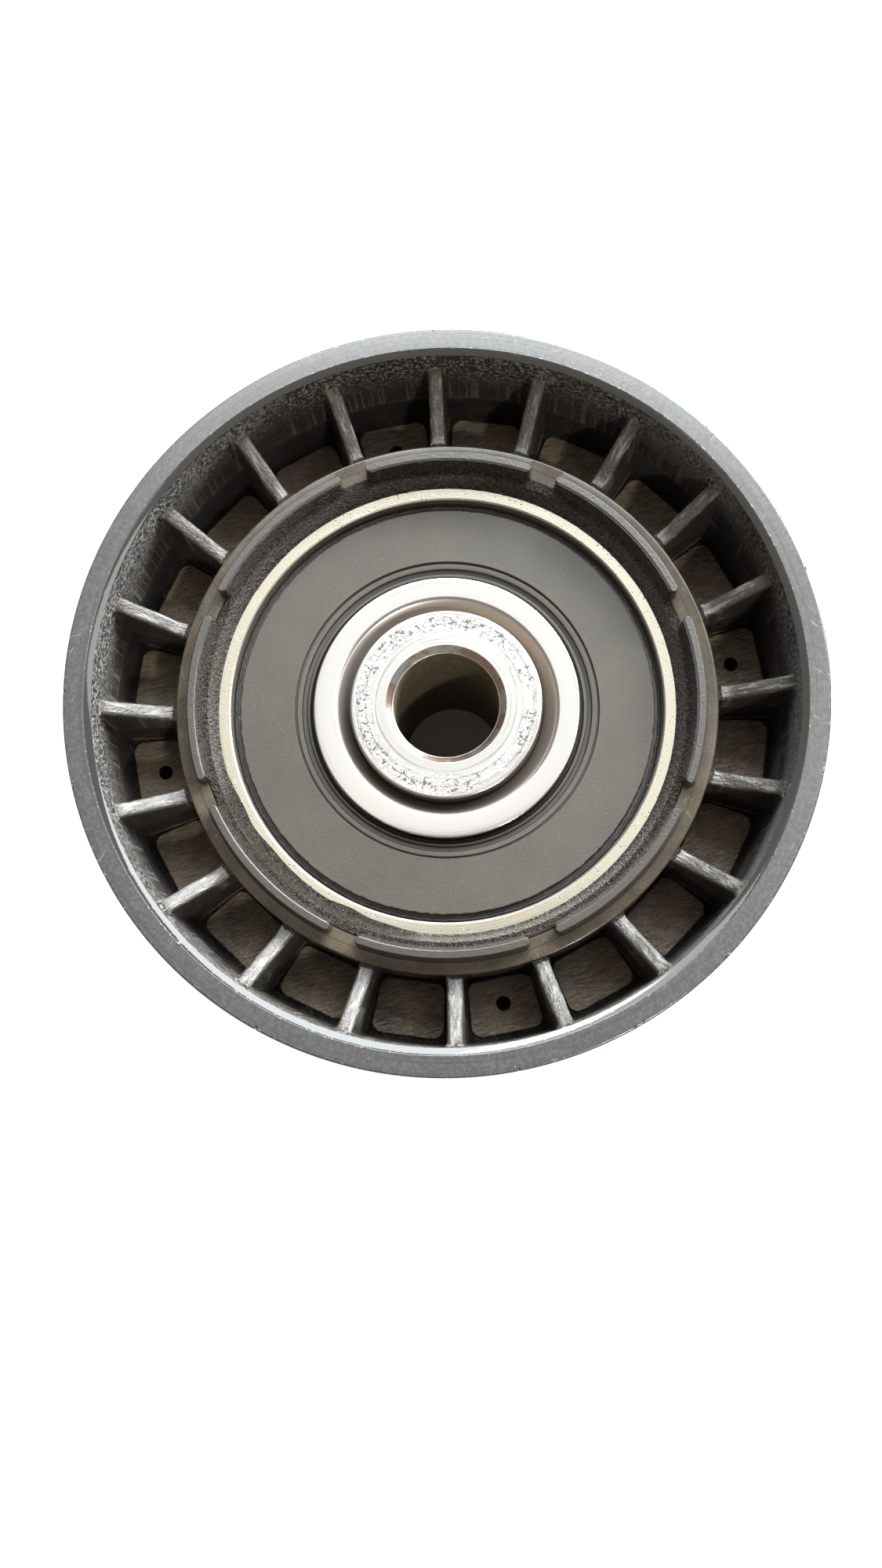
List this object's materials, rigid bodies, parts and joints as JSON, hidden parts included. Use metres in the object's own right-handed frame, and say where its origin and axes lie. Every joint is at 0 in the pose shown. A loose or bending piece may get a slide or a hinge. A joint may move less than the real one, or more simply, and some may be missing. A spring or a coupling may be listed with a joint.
{
  "type": "belt idler pulley",
  "caption": "Ribbed plastic idler pulley moulded round a sealed ball bearing, with a steel spacer bush for its fixing bolt.",
  "frame": {"origin": "centre of the bolt hole on the spacer bush's rear seating face", "axes": "+Z along the pulley's axis, towards the front face; +X through the middle of a rib"},
  "size_m": [0.076, 0.076, 0.034],
  "materials": {
    "moulded_nylon": "dark glass-filled nylon, satin on machined faces, sparkling grain inside the pockets",
    "outer_ring_steel": "ground bearing steel with a pale gold cast",
    "inner_ring_steel": "bright ground bearing steel",
    "bush_steel": "turned steel with fine concentric tool lines and scuffs",
    "seal_rubber": "matt black nitrile rubber",
    "insert_steel": "pressed sheet steel",
    "cage_steel": "pressed sheet steel",
    "rivet_steel": "plain steel",
    "ball_steel": "polished bearing steel"
  },
  "bodies": {
    "spindle": {"spacer_bush": "bush_steel", "bearing_inner_ring": "inner_ring_steel"},
    "pulley": {"pulley_body": "moulded_nylon", "bearing_outer_ring": "outer_ring_steel", "front_seal": "seal_rubber", "front_seal_insert": "insert_steel", "rear_seal": "seal_rubber", "rear_seal_insert": "insert_steel"},
    "cage": {"cage_front_half": "cage_steel", "cage_rear_half": "cage_steel", "cage_rivets": "rivet_steel"},
    "ball_1_body": {"ball_1": "ball_steel"},
    "ball_2_body": {"ball_2": "ball_steel"},
    "ball_3_body": {"ball_3": "ball_steel"},
    "ball_4_body": {"ball_4": "ball_steel"},
    "ball_5_body": {"ball_5": "ball_steel"},
    "ball_6_body": {"ball_6": "ball_steel"},
    "ball_7_body": {"ball_7": "ball_steel"}
  },
  "joints": [
    {"name": "pulley_spin", "type": "hinge", "parent": "spindle", "child": "pulley", "pos_m": [0, 0, 0.0185], "axis": [0, 0, 1], "continuous": true},
    {"name": "cage_spin", "type": "hinge", "parent": "spindle", "child": "cage", "pos_m": [0, 0, 0.0185], "axis": [0, 0, 1], "continuous": true},
    {"name": "ball_1_spin", "type": "hinge", "parent": "cage", "child": "ball_1_body", "pos_m": [0.018, 0, 0.0185], "axis": [0, 0, 1], "continuous": true},
    {"name": "ball_2_spin", "type": "hinge", "parent": "cage", "child": "ball_2_body", "pos_m": [0.01122, 0.01407, 0.0185], "axis": [0, 0, 1], "continuous": true},
    {"name": "ball_3_spin", "type": "hinge", "parent": "cage", "child": "ball_3_body", "pos_m": [-0.00401, 0.01755, 0.0185], "axis": [0, 0, 1], "continuous": true},
    {"name": "ball_4_spin", "type": "hinge", "parent": "cage", "child": "ball_4_body", "pos_m": [-0.01622, 0.00781, 0.0185], "axis": [0, 0, 1], "continuous": true},
    {"name": "ball_5_spin", "type": "hinge", "parent": "cage", "child": "ball_5_body", "pos_m": [-0.01622, -0.00781, 0.0185], "axis": [0, 0, 1], "continuous": true},
    {"name": "ball_6_spin", "type": "hinge", "parent": "cage", "child": "ball_6_body", "pos_m": [-0.00401, -0.01755, 0.0185], "axis": [0, 0, 1], "continuous": true},
    {"name": "ball_7_spin", "type": "hinge", "parent": "cage", "child": "ball_7_body", "pos_m": [0.01122, -0.01407, 0.0185], "axis": [0, 0, 1], "continuous": true}
  ],
  "couplings": [
    {"joint": "cage_spin", "follows": "pulley_spin", "ratio": 0.63229},
    {"joint": "ball_1_spin", "follows": "pulley_spin", "ratio": 1.7575},
    {"joint": "ball_2_spin", "follows": "pulley_spin", "ratio": 1.7575},
    {"joint": "ball_3_spin", "follows": "pulley_spin", "ratio": 1.7575},
    {"joint": "ball_4_spin", "follows": "pulley_spin", "ratio": 1.7575},
    {"joint": "ball_5_spin", "follows": "pulley_spin", "ratio": 1.7575},
    {"joint": "ball_6_spin", "follows": "pulley_spin", "ratio": 1.7575},
    {"joint": "ball_7_spin", "follows": "pulley_spin", "ratio": 1.7575}
  ]
}
